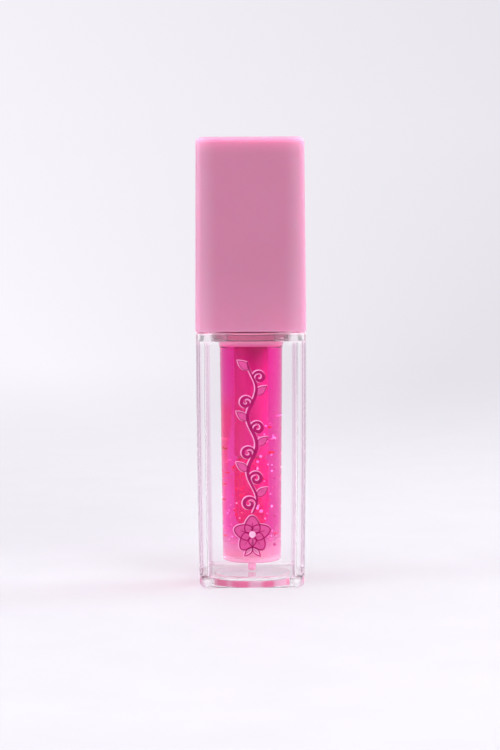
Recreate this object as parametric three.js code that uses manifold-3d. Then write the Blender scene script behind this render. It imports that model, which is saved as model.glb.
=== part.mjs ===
// Lip gloss tube: a square clear bottle with a round inner vial, and a square screw cap that carries
// the applicator. Millimetres, +Z up, origin at the middle of the base, front face towards -Y.
import * as THREE from 'three';
import { mergeVertices } from 'three/addons/utils/BufferGeometryUtils.js';
import Module from 'manifold-3d';

const wasm = await Module();
wasm.setup();

// Clear outer sleeve, a square cup that narrows towards its base
const BODY_WIDTH = 20.5;
const BASE_DRAFT = 0.83;
const SLEEVE_TOP = 46.7;
const SLEEVE_WALL = 1.5;
const SLEEVE_FLOOR = 1.8;
const SLEEVE_CORNER = 1.0;
const CAVITY_CORNER = 0.7;
const BASE_EDGE = 1.3;
const RECESS_RADIUS = 7.15;
const RECESS_DEPTH = 1.2;

// Round inner vial with a square flange on the sleeve and a threaded neck
const FLANGE_THICKNESS = 1.5;
const FLANGE_TOP = SLEEVE_TOP + FLANGE_THICKNESS;
const GROOVE_TOP = SLEEVE_TOP + 1.0;
const GROOVE_INSIDE = 6.75;
const GROOVE_OUTSIDE = 7.5;
const VIAL_BOTTOM = 4.2;
const VIAL_BASE_RADIUS = 5.55;
const VIAL_TOP_RADIUS = 5.95;
const VIAL_WALL = 1.1;
const VIAL_FLOOR = 0.7;
const FLARE_HEIGHT = 1.6;
const FLARE_RADIUS = 6.6;
const GATE_RADIUS = 0.75;
const GATE_BOTTOM = 2.1;
const NECK_RADIUS = 5.5;
const NECK_BORE = 4.6;
const NECK_TOP = 60.5;
const NECK_BEAD = 5.9;

// Screw thread between the neck and the cap liner
const THREAD_PITCH = 2.6;
const THREAD_TURNS = 1.6;
const THREAD_WIDTH = 1.1;
const NECK_CREST = 6.1;
const LINER_CREST = 6.28;
const LINER_ROOT = 6.8;
const NECK_THREAD_START = 51.6;
const LINER_THREAD_START = 50.3;

// Wiper insert in the neck
const WIPER_FLANGE = 0.8;
const WIPER_FLANGE_RADIUS = 5.3;
const WIPER_RADIUS = 4.55;
const WIPER_WALL = 0.6;
const WIPER_CONE_TOP = 50.8;
const WIPER_BOTTOM = 45.6;
const WIPER_LIP = 4.35;
const ORIFICE_RADIUS = 2.45;
const WIPER_TOP = NECK_TOP + WIPER_FLANGE;

// Square cap shell and the threaded liner inside it
const CAP_GAP = 0.3;
const CAP_BOTTOM = FLANGE_TOP + CAP_GAP;
const CAP_TOP = 84.5;
const CAP_BOTTOM_WIDTH = 20.7;
const CAP_TOP_WIDTH = 20.15;
const CAP_CORNER = 1.1;
const CAP_EDGE = 0.9;
const CAP_WALL = 1.3;
const LINER_BOTTOM = CAP_BOTTOM + 0.5;
const LINER_RADIUS = 8.0;
const LINER_DISC = 1.5;
const RIB_WIDTH = 1.0;
const RIB_GAP = 0.2;
const SOCKET_RADIUS = 5.2;
const SOCKET_BORE = 4.1;
const SOCKET_HEIGHT = 5.5;

// Seal ring between the wiper and the liner
const SEAL_GAP = 0.1;
const SEAL_BOTTOM = WIPER_TOP + SEAL_GAP;
const SEAL_THICKNESS = 1.0;
const SEAL_RADIUS = 6.1;
const SEAL_BORE = 2.9;
const LINER_CEILING = SEAL_BOTTOM + SEAL_THICKNESS + SEAL_GAP;
const LINER_DISC_TOP = LINER_CEILING + LINER_DISC;

// Applicator rod and flocked doe-foot tip
const ROD_RADIUS = 2.2;
const ROD_HEAD_RADIUS = 3.9;
const ROD_HEAD_HEIGHT = 2.5;
const ROD_PLAY = 0.15;
const TIP_TOP = 24.1;
const TIP_BOTTOM = 10.6;
const TIP_RADIUS = 2.2;
const CORE_RADIUS = 1.1;
const CORE_BOTTOM = 14.5;
const CORE_DEPTH_IN_ROD = 4;
const CORE_PLAY = 0.08;
const SLANT_DEGREES = 9;
const SLANT_LENGTH = 9.0;

// Gloss that fills the vial round the rod and tip
const GLOSS_TOP = 45.1;
const GLOSS_PLAY = 0.06;
const TIP_ROOM = 2.6;

const SEGMENTS = 40;
const EDGE_STEPS = 4;

// --- Shapes ---

// Centred rounded square.
function roundedSquare(width, radius) {
  const h = width / 2;
  const inner = h - radius;
  const shape = new THREE.Shape();
  shape.moveTo(-inner, -h);
  shape.absarc(inner, -inner, radius, -Math.PI / 2, 0);
  shape.absarc(inner, inner, radius, 0, Math.PI / 2);
  shape.absarc(-inner, inner, radius, Math.PI / 2, Math.PI);
  shape.absarc(-inner, -inner, radius, Math.PI, 1.5 * Math.PI);
  return shape;
}

// Square bar through the given levels, as wide as widthAt says at each of them.
function squareBar(levels, widthAt, radius) {
  const steps = levels.length - 1;
  const outline = roundedSquare(1, radius / BODY_WIDTH);
  const bar = new THREE.ExtrudeGeometry(outline, { depth: steps, steps, bevelEnabled: false, curveSegments: 2 });
  const place = bar.attributes.position;
  for (let i = 0; i < place.count; i++) {
    const z = levels[Math.round(place.getZ(i))];
    const width = widthAt(z);
    place.setXYZ(i, place.getX(i) * width, place.getY(i) * width, z);
  }
  return bar;
}

// Levels through a rounded edge: from the end face at z, into the body for the radius.
function edgeLevels(z, radius, direction) {
  const angles = Array.from({ length: EDGE_STEPS + 1 }, (_, i) => (i / EDGE_STEPS) * (Math.PI / 2));
  return angles.map((angle) => z + direction * radius * (1 - Math.cos(angle)));
}

// How far a rounded edge pulls the side in, at this distance from the end face.
function edgeInset(distance, radius) {
  const short = Math.max(radius - distance, 0);
  return radius - Math.sqrt(radius * radius - short * short);
}

// Evenly spaced levels, both ends included.
function evenLevels(from, to, steps) {
  return Array.from({ length: steps + 1 }, (_, i) => from + ((to - from) * i) / steps);
}

// Turned shape about Z; the profile is a list of [radius, z] from one axis point to another, or a loop.
function turned(profile, segments = SEGMENTS) {
  const points = profile.map(([radius, z]) => new THREE.Vector2(radius, z));
  return new THREE.LatheGeometry(points, segments).rotateX(Math.PI / 2);
}

function ringProfile(inner, outer, bottom, top) {
  return [[inner, bottom], [outer, bottom], [outer, top], [inner, top], [inner, bottom]];
}

function discProfile(radius, bottom, top) {
  return [[0, bottom], [radius, bottom], [radius, top], [0, top]];
}

// Helical ridge with a trapezoid section and run-out at both ends. Its root is sunk in the wall.
function threadRidge(root, crest, start) {
  const steps = Math.round(THREAD_TURNS * SEGMENTS);
  const tip = THREAD_WIDTH * 0.25;
  const foot = THREAD_WIDTH * 0.5;
  const section = new THREE.Shape([
    new THREE.Vector2(0, -foot),
    new THREE.Vector2(1, -tip),
    new THREE.Vector2(1, tip),
    new THREE.Vector2(0, foot),
  ]);
  const ridge = new THREE.ExtrudeGeometry(section, { depth: steps, steps, bevelEnabled: false });
  const place = ridge.attributes.position;
  const runOut = steps / 8;
  for (let i = 0; i < place.count; i++) {
    const step = place.getZ(i);
    const turn = step / SEGMENTS;
    const angle = turn * 2 * Math.PI;
    const height = Math.min(1, 0.1 + step / runOut, 0.1 + (steps - step) / runOut);
    const radius = root + (crest - root) * place.getX(i) * height;
    const z = start + THREAD_PITCH * turn + place.getY(i);
    place.setXYZ(i, radius * Math.cos(angle), radius * Math.sin(angle), z);
  }
  return ridge;
}

// --- Solids ---

// Closed solid from a three.js geometry, turned right side out if its faces point inwards.
function solid(geometry) {
  const bare = geometry.clone();
  bare.deleteAttribute('normal');
  bare.deleteAttribute('uv');
  const merged = mergeVertices(bare, 1e-4);
  const vertProperties = new Float32Array(merged.attributes.position.array);
  const triVerts = new Uint32Array(merged.index.array);
  if (signedVolume(vertProperties, triVerts) < 0) triVerts.reverse();
  return new wasm.Manifold(new wasm.Mesh({ numProp: 3, vertProperties, triVerts }));
}

function signedVolume(places, corners) {
  const [a, b, c] = [new THREE.Vector3(), new THREE.Vector3(), new THREE.Vector3()];
  let total = 0;
  for (let i = 0; i < corners.length; i += 3) {
    a.fromArray(places, corners[i] * 3);
    b.fromArray(places, corners[i + 1] * 3);
    c.fromArray(places, corners[i + 2] * 3);
    total += a.dot(b.cross(c));
  }
  return total / 6;
}

// Named mesh of a solid, with its material.
function piece(name, body, colour, roughness, opacity = 1) {
  const { vertProperties, triVerts } = body.getMesh();
  const geometry = new THREE.BufferGeometry();
  geometry.setAttribute('position', new THREE.BufferAttribute(vertProperties, 3));
  geometry.setIndex(new THREE.BufferAttribute(triVerts, 1));
  geometry.computeVertexNormals();
  const material = new THREE.MeshStandardMaterial({
    color: colour, roughness, metalness: 0, opacity, transparent: opacity < 1,
  });
  const mesh = new THREE.Mesh(geometry, material);
  mesh.name = name;
  return mesh;
}

// --- Sub-parts ---

// Width across the flats of the clear body. The walls lean in more strongly near the base.
function bodyWidth(z) {
  return BODY_WIDTH - BASE_DRAFT * (1 - z / FLANGE_TOP) ** 2;
}

function capWidth(z) {
  return THREE.MathUtils.mapLinear(z, CAP_BOTTOM, CAP_TOP, CAP_BOTTOM_WIDTH, CAP_TOP_WIDTH);
}

function vialRadius(z) {
  return THREE.MathUtils.mapLinear(z, VIAL_BOTTOM, SLEEVE_TOP, VIAL_BASE_RADIUS, VIAL_TOP_RADIUS);
}

function outerSleeve() {
  const outsideLevels = [...edgeLevels(0, BASE_EDGE, 1), ...evenLevels(BASE_EDGE, SLEEVE_TOP, 5).slice(1)];
  const outside = (z) => bodyWidth(z) - 2 * edgeInset(z, BASE_EDGE);
  const inside = (z) => bodyWidth(z) - 2 * SLEEVE_WALL;
  const cup = solid(squareBar(outsideLevels, outside, SLEEVE_CORNER));
  const cavityLevels = evenLevels(SLEEVE_FLOOR, SLEEVE_TOP, 5).concat(SLEEVE_TOP + 1);
  const cavity = solid(squareBar(cavityLevels, inside, CAVITY_CORNER));
  const recess = solid(turned(discProfile(RECESS_RADIUS, -1, RECESS_DEPTH)));
  return piece('outer_sleeve', cup.subtract(cavity).subtract(recess), 0xf4f0f5, 0.05, 0.25);
}

function innerVial() {
  const flangeWidth = (z) => bodyWidth(Math.max(z, SLEEVE_TOP));
  const flange = solid(squareBar([SLEEVE_TOP, FLANGE_TOP], flangeWidth, SLEEVE_CORNER));
  const flareBottom = SLEEVE_TOP - FLARE_HEIGHT;
  const outside = [
    [0, GATE_BOTTOM], [GATE_RADIUS, GATE_BOTTOM], [GATE_RADIUS, VIAL_BOTTOM],
    [VIAL_BASE_RADIUS, VIAL_BOTTOM], [vialRadius(flareBottom), flareBottom], [FLARE_RADIUS, SLEEVE_TOP],
    [FLARE_RADIUS, FLANGE_TOP], [NECK_RADIUS, FLANGE_TOP],
    [NECK_RADIUS, NECK_TOP - 0.4], [NECK_RADIUS - 0.3, NECK_TOP], [0, NECK_TOP],
  ];
  const inside = [
    [0, VIAL_BOTTOM + VIAL_FLOOR], [VIAL_BASE_RADIUS - VIAL_WALL, VIAL_BOTTOM + VIAL_FLOOR],
    [vialRadius(flareBottom) - VIAL_WALL, flareBottom], [NECK_BORE, SLEEVE_TOP],
    [NECK_BORE, NECK_TOP + 1], [0, NECK_TOP + 1],
  ];
  const bead = solid(turned(ringProfile(NECK_RADIUS - 0.5, NECK_BEAD, FLANGE_TOP + 0.9, FLANGE_TOP + 1.7)));
  const thread = solid(threadRidge(NECK_RADIUS - 0.3, NECK_CREST, NECK_THREAD_START));
  const groove = solid(turned(ringProfile(GROOVE_INSIDE, GROOVE_OUTSIDE, SLEEVE_TOP - 1, GROOVE_TOP)));
  const shell = solid(turned(outside)).add(flange.subtract(groove)).add(bead).add(thread);
  return piece('inner_vial', shell.subtract(solid(turned(inside))), 0xf8eef4, 0.05, 0.3);
}

function wiper() {
  const inner = WIPER_RADIUS - WIPER_WALL;
  const profile = [
    [ORIFICE_RADIUS, WIPER_BOTTOM], [WIPER_LIP, WIPER_BOTTOM], [WIPER_RADIUS, WIPER_BOTTOM + 0.4],
    [WIPER_RADIUS, NECK_TOP], [WIPER_FLANGE_RADIUS, NECK_TOP],
    [WIPER_FLANGE_RADIUS, WIPER_TOP], [inner, WIPER_TOP], [inner, WIPER_CONE_TOP],
    [ORIFICE_RADIUS, WIPER_BOTTOM + 0.6], [ORIFICE_RADIUS, WIPER_BOTTOM],
  ];
  return piece('wiper', solid(turned(profile)), 0xf3e9ef, 0.35, 0.8);
}

function glossFill() {
  const floor = VIAL_BOTTOM + VIAL_FLOOR + GLOSS_PLAY;
  const wall = VIAL_WALL + GLOSS_PLAY;
  const profile = [
    [0, floor], [VIAL_BASE_RADIUS - wall, floor], [vialRadius(GLOSS_TOP) - wall, GLOSS_TOP],
    [TIP_ROOM, GLOSS_TOP], [TIP_ROOM, TIP_BOTTOM - 0.4], [0, TIP_BOTTOM - 0.4],
  ];
  return piece('gloss_fill', solid(turned(profile)), 0xf0349c, 0.1, 0.85);
}

function sealRing() {
  const profile = ringProfile(SEAL_BORE, SEAL_RADIUS, SEAL_BOTTOM, SEAL_BOTTOM + SEAL_THICKNESS);
  return piece('seal_ring', solid(turned(profile)), 0xf5f2f2, 0.6);
}

function capShell() {
  const top = edgeLevels(CAP_TOP, CAP_EDGE, -1).reverse();
  const outside = (z) => capWidth(z) - 2 * edgeInset(CAP_TOP - z, CAP_EDGE);
  const inside = (z) => capWidth(z) - 2 * CAP_WALL;
  const block = solid(squareBar([CAP_BOTTOM, ...top], outside, CAP_CORNER));
  const cavity = solid(squareBar([CAP_BOTTOM - 1, CAP_TOP - CAP_WALL], inside, CAVITY_CORNER));
  return piece('cap_shell', block.subtract(cavity), 0xd07aa0, 0.4);
}

// One rib of the liner, a plate from the tube out to the shell's inner face at this angle.
function linerRib(angle) {
  const squarish = 1 / Math.max(Math.abs(Math.cos(angle)), Math.abs(Math.sin(angle)));
  const face = capWidth(LINER_DISC_TOP) / 2 - CAP_WALL - RIB_GAP;
  const reach = squarish > 1.1 ? face * squarish - RIB_WIDTH : face;
  const start = LINER_RADIUS - 0.4;
  const height = LINER_DISC_TOP - LINER_BOTTOM - 0.6;
  const rib = new THREE.BoxGeometry(reach - start, RIB_WIDTH, height);
  rib.translate((reach + start) / 2, 0, LINER_BOTTOM + 0.3 + height / 2);
  return rib.rotateZ(angle);
}

function capLiner() {
  const outside = solid(turned([
    [0, LINER_BOTTOM], [LINER_RADIUS, LINER_BOTTOM], [LINER_RADIUS, LINER_DISC_TOP],
    [SOCKET_RADIUS, LINER_DISC_TOP], [SOCKET_RADIUS, LINER_DISC_TOP + SOCKET_HEIGHT],
    [0, LINER_DISC_TOP + SOCKET_HEIGHT],
  ]));
  const mouth = solid(turned(discProfile(LINER_ROOT, LINER_BOTTOM - 1, LINER_CEILING)));
  const socket = solid(turned(discProfile(SOCKET_BORE, LINER_DISC_TOP, LINER_DISC_TOP + SOCKET_HEIGHT + 1)));
  const rodHole = solid(turned(discProfile(ROD_RADIUS + ROD_PLAY, LINER_CEILING - 1, LINER_DISC_TOP + 1)));
  let liner = outside.subtract(mouth).subtract(socket).subtract(rodHole);
  for (let i = 0; i < 8; i++) liner = liner.add(solid(linerRib((i * Math.PI) / 4)));
  const thread = solid(threadRidge(LINER_ROOT + 0.3, LINER_CREST, LINER_THREAD_START));
  return piece('cap_liner', liner.add(thread), 0xe6a3c0, 0.5);
}

function applicatorRod() {
  const headBottom = LINER_DISC_TOP + 0.05;
  const bore = CORE_RADIUS + CORE_PLAY;
  const profile = [
    [bore, TIP_TOP], [ROD_RADIUS - 0.25, TIP_TOP], [ROD_RADIUS, TIP_TOP + 0.25],
    [ROD_RADIUS, headBottom], [ROD_HEAD_RADIUS, headBottom],
    [ROD_HEAD_RADIUS, headBottom + ROD_HEAD_HEIGHT], [0, headBottom + ROD_HEAD_HEIGHT],
    [0, TIP_TOP + CORE_DEPTH_IN_ROD], [bore, TIP_TOP + CORE_DEPTH_IN_ROD], [bore, TIP_TOP],
  ];
  return piece('applicator_rod', solid(turned(profile)), 0xf7dbe8, 0.2, 0.9);
}

function tipCore() {
  const top = TIP_TOP + CORE_DEPTH_IN_ROD - 0.2;
  const profile = [
    [0, CORE_BOTTOM], [CORE_RADIUS - 0.4, CORE_BOTTOM], [CORE_RADIUS, CORE_BOTTOM + 0.6],
    [CORE_RADIUS, top], [0, top],
  ];
  return piece('tip_core', solid(turned(profile, 24)), 0xf3e4ea, 0.4);
}

// Soft flocked tip with a slanted front face, open at the top for its core.
function tipFlock() {
  const bore = CORE_RADIUS + CORE_PLAY;
  const round = [
    [0, TIP_BOTTOM], [0.9, TIP_BOTTOM + 0.15], [1.6, TIP_BOTTOM + 0.6], [2.05, TIP_BOTTOM + 1.4],
    [TIP_RADIUS, TIP_BOTTOM + 2.6], [TIP_RADIUS, TIP_TOP - 0.9], [TIP_RADIUS - 0.5, TIP_TOP - 0.1],
    [bore, TIP_TOP - 0.1], [bore, CORE_BOTTOM - 0.1], [0, CORE_BOTTOM - 0.1],
  ];
  const slant = new THREE.BoxGeometry(8, 8, 20);
  slant.translate(0, -4, -10);
  slant.rotateX(THREE.MathUtils.degToRad(SLANT_DEGREES));
  slant.translate(0, -TIP_RADIUS, TIP_BOTTOM + SLANT_LENGTH);
  return piece('tip_flock', solid(turned(round, 32)).subtract(solid(slant)), 0xf0a3c4, 0.9);
}

const tube = new THREE.Group();
tube.add(outerSleeve(), innerVial(), wiper(), glossFill(), sealRing());
tube.add(capShell(), capLiner(), applicatorRod(), tipCore(), tipFlock());

export default tube;
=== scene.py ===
"""Looks of the lip gloss tube: a clear square bottle with a round vial of pink gloss, and a square cap."""
import math
import random

import bmesh
import bpy
from mathutils import Matrix, Vector, noise


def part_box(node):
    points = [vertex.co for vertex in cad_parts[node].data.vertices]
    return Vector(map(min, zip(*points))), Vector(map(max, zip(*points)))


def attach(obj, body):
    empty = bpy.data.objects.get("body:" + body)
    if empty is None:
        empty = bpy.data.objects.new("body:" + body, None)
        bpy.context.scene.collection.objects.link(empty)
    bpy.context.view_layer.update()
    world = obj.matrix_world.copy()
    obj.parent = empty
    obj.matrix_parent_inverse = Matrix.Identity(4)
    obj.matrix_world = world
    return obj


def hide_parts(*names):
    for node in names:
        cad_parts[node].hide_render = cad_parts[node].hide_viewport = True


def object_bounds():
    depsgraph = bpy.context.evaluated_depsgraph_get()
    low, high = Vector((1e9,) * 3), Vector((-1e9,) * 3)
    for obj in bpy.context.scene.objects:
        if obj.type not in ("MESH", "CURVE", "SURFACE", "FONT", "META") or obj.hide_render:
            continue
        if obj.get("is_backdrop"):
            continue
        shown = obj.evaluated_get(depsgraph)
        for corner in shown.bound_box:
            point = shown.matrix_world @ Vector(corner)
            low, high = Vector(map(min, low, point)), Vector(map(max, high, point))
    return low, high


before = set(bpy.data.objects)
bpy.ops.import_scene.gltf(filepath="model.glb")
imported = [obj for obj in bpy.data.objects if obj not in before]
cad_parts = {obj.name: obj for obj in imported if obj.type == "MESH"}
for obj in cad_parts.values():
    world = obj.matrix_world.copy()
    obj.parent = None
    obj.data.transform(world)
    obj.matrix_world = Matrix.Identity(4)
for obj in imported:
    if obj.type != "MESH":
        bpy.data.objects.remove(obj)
cad_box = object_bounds()

MM = 0.001

# Lowest and highest corners that the frame gives, in millimetres
SLEEVE_LOW, SLEEVE_HIGH = (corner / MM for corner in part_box("outer_sleeve"))
VIAL_LOW, VIAL_HIGH = (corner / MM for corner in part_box("inner_vial"))
WIPER_LOW, WIPER_HIGH = (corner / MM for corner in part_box("wiper"))
SEAL_LOW, SEAL_HIGH = (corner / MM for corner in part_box("seal_ring"))
SHELL_LOW, SHELL_HIGH = (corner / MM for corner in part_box("cap_shell"))
LINER_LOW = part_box("cap_liner")[0] / MM
ROD_LOW, ROD_HIGH = (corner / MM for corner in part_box("applicator_rod"))
FLOCK_LOW, FLOCK_HIGH = (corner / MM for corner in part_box("tip_flock"))
CORE_LOW, CORE_HIGH = (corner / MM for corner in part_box("tip_core"))

SLEEVE_TOP = SLEEVE_HIGH.z
BODY_WIDTH = SLEEVE_HIGH.x - SLEEVE_LOW.x
NECK_TOP = VIAL_HIGH.z

# Bottle dimensions that a box can't give, in millimetres
BASE_DRAFT = 0.83
FLANGE_THICKNESS = 1.5
FLANGE_TOP = SLEEVE_TOP + FLANGE_THICKNESS
SLEEVE_WALL = 1.5
SLEEVE_FLOOR = 1.8
SLEEVE_CORNER = 1.0
CAVITY_CORNER = 0.7
BASE_EDGE = 1.3
RECESS_RADIUS = 7.15
RECESS_DEPTH = 1.2
GROOVE_INSIDE = 6.75
GROOVE_OUTSIDE = 7.5
GROOVE_TOP = SLEEVE_TOP + 1.0
VIAL_BOTTOM = 4.2
VIAL_BASE_RADIUS = 5.55
VIAL_TOP_RADIUS = 5.95
VIAL_WALL = 1.1
VIAL_FLOOR = 0.7
VIAL_BORE = VIAL_BASE_RADIUS - VIAL_WALL
FLARE = SLEEVE_TOP - 1.6
GATE_RADIUS = 0.75
NECK_RADIUS = 5.5
NECK_BORE = 4.6
BEAD_HEIGHT = 1.3
BEAD_HALF = 0.55
BEAD_DEPTH = 0.4
ORIFICE_RADIUS = 2.45
WIPER_RADIUS = 4.55
WIPER_WALL = 0.6
WIPER_LIP = 4.35
WIPER_CONE_TOP = 50.8

# How far gloss and glue reach into the wall that they wet, so that light bends once where they meet
WET = 0.02

# Screw thread of the neck and the liner
THREAD_PITCH = 2.6
THREAD_TURNS = 1.6
THREAD_WIDTH = 1.1
NECK_THREAD_START = 51.6
LINER_THREAD_START = 50.3
NECK_CREST = 6.1
LINER_CREST = 6.28
LINER_ROOT = 6.8

# Cap and applicator
SEAL_BORE = 2.9
LINER_DISC = 1.5
LINER_RADIUS = 8.0
RIB_WIDTH = 1.0
RIB_BEVEL = 0.12
RIB_GAP = 0.2
RIB_INSET = 0.3
RIBS = 8
SOCKET_RADIUS = 5.2
SOCKET_BORE = 4.1
SOCKET_HEIGHT = 5.5
CAP_CORNER = 1.1
CAP_EDGE = 0.9
CAP_WALL = 1.3
CAP_TOP_WIDTH = 20.15
ROD_RADIUS = 2.2
ROD_HEAD_HEIGHT = 2.5
CORE_RADIUS = 1.1
CORE_PLAY = 0.08
SLANT_HEIGHT = 9.0
SLANT = math.radians(9)
FUZZ_SCALE = 2500
FUZZ_DEPTH = 0.03

# Printed sprig on the front face: ink heights over the face, and how deep the ink is keyed into it
INK_SINK = 0.02
HALO_LIFT = 0.02
FILL_LIFT = 0.03
INK_LIFT = 0.045
EYE_LIFT = 0.055
HALO_SHIFT = Vector((-0.10, 0.06))
HALO_MARGIN = 0.09
SPRIG_LOW, SPRIG_HIGH = 14.4, 43.0
SPRIG_WAVES = 2.75
TENDRILS = 6
BLOSSOM_CENTRE = Vector((0.1, 10.4))
PETALS = 5
EYE_RADIUS = 0.62
DOTS = 15
DOTS_ACROSS = 4.25
DOTS_LOW, DOTS_HIGH = 8.5, 33.5

# Clear plastics: colours of the wall, the upright corners and the foot, height up to which the foot
# reaches and how milky it is, and the colour of lamplight that has passed through
SLEEVE_PLASTIC = {
    "wall": (0.985, 0.97, 0.98),
    # edge: colour of the upright corners; on the sleeve it is a painted reflection of the pink gloss
    "edge": (0.86, 0.64, 0.76),
    "foot": (0.88, 0.83, 0.86),
    "foot_top": SLEEVE_FLOOR + 0.6,
    "foot_haze": 0.08,
    "passed": (0.96, 0.955, 0.96),
}
VIAL_PLASTIC = {
    "wall": (1.0, 0.965, 0.98),
    "edge": (1.0, 0.965, 0.98),
    "foot": (1.0, 0.58, 0.77),
    "foot_top": VIAL_BOTTOM + 1.4,
    "foot_haze": 0.35,
    "passed": (0.98, 0.96, 0.97),
}
# Colour of the painted glow along the flange's upper edge
PAINTED_BRIM_GLOW_COLOUR = (1.0, 0.45, 0.65)
STREAK_COLOUR = (0.98, 0.03, 0.22)

# Camera: its place in metres, its tilt and roll in degrees, its lens and sensor in millimetres
CAMERA_PLACE = (-0.0002, -0.480, 0.088)
CAMERA_TILT = 90 - 5.78
CAMERA_ROLL = -0.29
CAMERA_LENS = 121.8
CAMERA_SENSOR = 36

# Lamps: name, place, size, power and colour; all of them face the middle of the tube
LAMP_TARGET = (0, 0, 0.04)
LAMPS = (
    ("rim", (0.70, 0.25, 0.35), (0.4, 0.4), 3.6, (1.0, 0.98, 1.0)),
    ("fill", (0.42, -0.55, 0.50), (0.6, 0.3), 3.4, (1.0, 0.98, 1.0)),
    ("left", (-0.70, -0.20, 0.30), (0.3, 0.5), 2.3, (0.98, 0.97, 1.0)),
    ("top", (0.0, -0.05, 0.80), (0.5, 0.5), 2.3, (0.99, 0.98, 1.0)),
)
FLOOR_RADIUS = 6.0
FLOOR_GAP = 0.02

# Points round each ring of a skin: along each flat side, and round each corner
SIDE_STEPS = 20
CORNER_STEPS = 8
RING = 4 * (SIDE_STEPS + CORNER_STEPS)
FILLET_STEPS = 5
EDGE_STEPS = 8


# --- Meshes ---

def mix(a, b, share):
    return a + (b - a) * share


def levels(low, high, count):
    return [mix(low, high, i / count) for i in range(count + 1)]


def body_width(z):
    """Width across the flats of the clear body; the walls lean in more strongly near the base."""
    return BODY_WIDTH - BASE_DRAFT * (1 - z / FLANGE_TOP) ** 2


def cap_width(z):
    share = (z - SHELL_LOW.z) / (SHELL_HIGH.z - SHELL_LOW.z)
    return mix(SHELL_HIGH.x - SHELL_LOW.x, CAP_TOP_WIDTH, share)


def vial_radius(z):
    return mix(VIAL_BASE_RADIUS, VIAL_TOP_RADIUS, (z - VIAL_BOTTOM) / (SLEEVE_TOP - VIAL_BOTTOM))


def ring_points(half, corner):
    """RING points of a centred rounded square, or of a circle where corner is None, from the +X side on."""
    if corner is None:
        angles = [2 * math.pi * i / RING - math.pi / 4 for i in range(RING)]
        return [(half * math.cos(a), half * math.sin(a)) for a in angles]
    corner = min(corner, half * 0.98)
    inner = half - corner
    quarter = []
    for i in range(CORNER_STEPS):
        a = -math.pi / 2 * (1 - i / CORNER_STEPS)
        quarter.append((inner + corner * math.cos(a), -inner + corner * math.sin(a)))
    for i in range(SIDE_STEPS):
        quarter.append((half, mix(-inner, inner, i / SIDE_STEPS)))
    points = []
    for c, s in ((1, 0), (0, 1), (-1, 0), (0, -1)):
        points += [(c * x - s * y, s * x + c * y) for x, y in quarter]
    return points


def filleted(stations):
    """Stations (half, z, corner, fillet) with each corner that has a fillet replaced by a short curve."""
    smooth = []
    last = len(stations) - 1
    for i, (half, z, corner, fillet) in enumerate(stations):
        if not fillet or i in (0, last):
            smooth.append((half, z, corner))
            continue
        here = Vector((half, z))
        ends = []
        for other in (stations[i - 1], stations[i + 1]):
            way = Vector(other[:2]) - here
            ends.append(here + way.normalized() * min(fillet, way.length * 0.49))
        for step in range(FILLET_STEPS + 1):
            t = step / FILLET_STEPS
            p = ends[0] * (1 - t) ** 2 + here * 2 * t * (1 - t) + ends[1] * t ** 2
            smooth.append((p.x, p.y, corner))
    return smooth


def skin(name, stations, swell=None):
    """Closed surface through rings at the stations; a station with half 0 is a pole. swell moves the
    radius of round rings by an amount that depends on the angle and the height."""
    mesh = bmesh.new()
    rings = []
    for half, z, corner in filleted(stations):
        if half < 1e-6:
            rings.append([mesh.verts.new((0, 0, z * MM))])
            continue
        ring = []
        for x, y in ring_points(half, corner):
            if swell and corner is None:
                grown = 1 + swell(math.atan2(y, x), z, half) / half
                x, y = x * grown, y * grown
            ring.append(mesh.verts.new((x * MM, y * MM, z * MM)))
        rings.append(ring)
    if len(rings[0]) > 1:
        rings.append(rings[0])
    for low, high in zip(rings, rings[1:]):
        for i in range(RING):
            j = (i + 1) % RING
            if len(low) == 1:
                mesh.faces.new((low[0], high[j], high[i]))
            elif len(high) == 1:
                mesh.faces.new((low[i], low[j], high[0]))
            else:
                mesh.faces.new((low[i], low[j], high[j], high[i]))
    return finished(name, mesh)


def finished(name, mesh, sharp=35):
    """Object from a bmesh, faces out, smooth except over edges sharper than the angle in degrees."""
    bmesh.ops.recalc_face_normals(mesh, faces=mesh.faces)
    data = bpy.data.meshes.new(name)
    mesh.to_mesh(data)
    mesh.free()
    data.shade_smooth()
    data.set_sharp_from_angle(angle=math.radians(sharp))
    piece = bpy.data.objects.new(name, data)
    bpy.context.scene.collection.objects.link(piece)
    weighted = piece.modifiers.new("weighted", "WEIGHTED_NORMAL")
    weighted.keep_sharp = True
    return piece


def dress(piece, material, body, slot, *replaced):
    """Give the piece its material, its body and the CAD nodes that it stands for; slot is not used."""
    piece.data.materials.clear()
    piece.data.materials.append(material)
    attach(piece, body)
    if replaced:
        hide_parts(*replaced)
    return piece


def thread_height(angle, z, start, depth):
    """Height of the helical ridge at this place of a wall, with run-out at both ends."""
    crest_share, flank_share, run_out_rate = 1.15, 0.5, 8
    part = (angle / (2 * math.pi)) % 1
    best = 0
    for whole in range(3):
        turn = part + whole
        if turn > THREAD_TURNS:
            continue
        away = abs(z - start - THREAD_PITCH * turn) / (THREAD_WIDTH / 2)
        flank = max(0, min(1, (crest_share - away) / flank_share))
        run_out = min(1, turn * run_out_rate, (THREAD_TURNS - turn) * run_out_rate)
        best = max(best, depth * max(run_out, 0) * flank * flank * (3 - 2 * flank))
    return best


# --- Materials ---

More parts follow.
